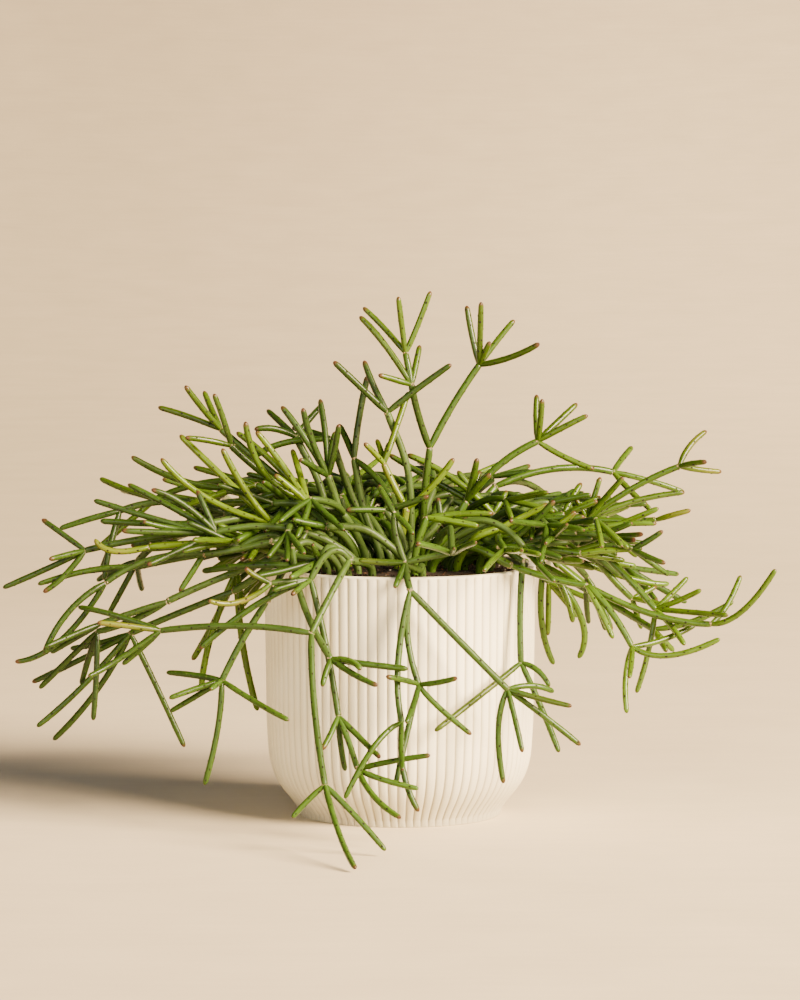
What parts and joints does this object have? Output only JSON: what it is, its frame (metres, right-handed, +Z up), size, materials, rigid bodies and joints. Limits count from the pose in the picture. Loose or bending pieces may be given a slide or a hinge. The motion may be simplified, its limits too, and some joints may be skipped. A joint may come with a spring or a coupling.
{
  "type": "potted rhipsalis neves-armondii",
  "caption": "Jointed cactus with slender cylindrical stems forking in whorls and spilling over a reeded round white pot of soil; a houseplant that stands on a flat surface",
  "frame": {"origin": "middle of the underside of the pot's foot", "axes": "+Z up along the pot's axis, -Y the side of the plant that the picture shows, +X to its right"},
  "size_m": [0.4216, 0.3862, 0.2918],
  "materials": {
    "white_ceramic": "matt, reeded",
    "potting_soil": "coarse, moist and dull",
    "bright_green_stem": "smooth waxy skin with a soft sheen",
    "green_stem": "smooth waxy skin with a soft sheen",
    "old_green_stem": "smooth waxy skin with a soft sheen"
  },
  "bodies": {
    "root": {"pot": "white_ceramic", "soil": "potting_soil", "stem_back_a": "old_green_stem", "stem_back_b": "green_stem", "stem_back_c": "old_green_stem", "stem_back_d": "green_stem", "stem_back_e": "old_green_stem", "stem_back_f": "green_stem", "stem_back_g": "old_green_stem", "stem_front_hook": "old_green_stem", "stem_front_left": "old_green_stem", "stem_front_middle": "old_green_stem", "stem_inner_left": "old_green_stem", "stem_inner_middle": "old_green_stem", "stem_inner_shade": "old_green_stem", "stem_left_arch": "green_stem", "stem_left_bright": "bright_green_stem", "stem_left_hanging": "green_stem", "stem_left_long": "old_green_stem", "stem_left_low": "old_green_stem", "stem_left_old": "old_green_stem", "stem_left_shade": "green_stem", "stem_middle_back": "green_stem", "stem_middle_bright": "bright_green_stem", "stem_middle_low": "old_green_stem", "stem_right_front": "green_stem", "stem_right_hub": "green_stem", "stem_right_long": "green_stem", "stem_right_low": "green_stem", "stem_right_rim": "old_green_stem", "stem_top_dark": "old_green_stem", "stem_top_middle": "green_stem", "stem_top_right": "green_stem"}
  },
  "joints": []
}
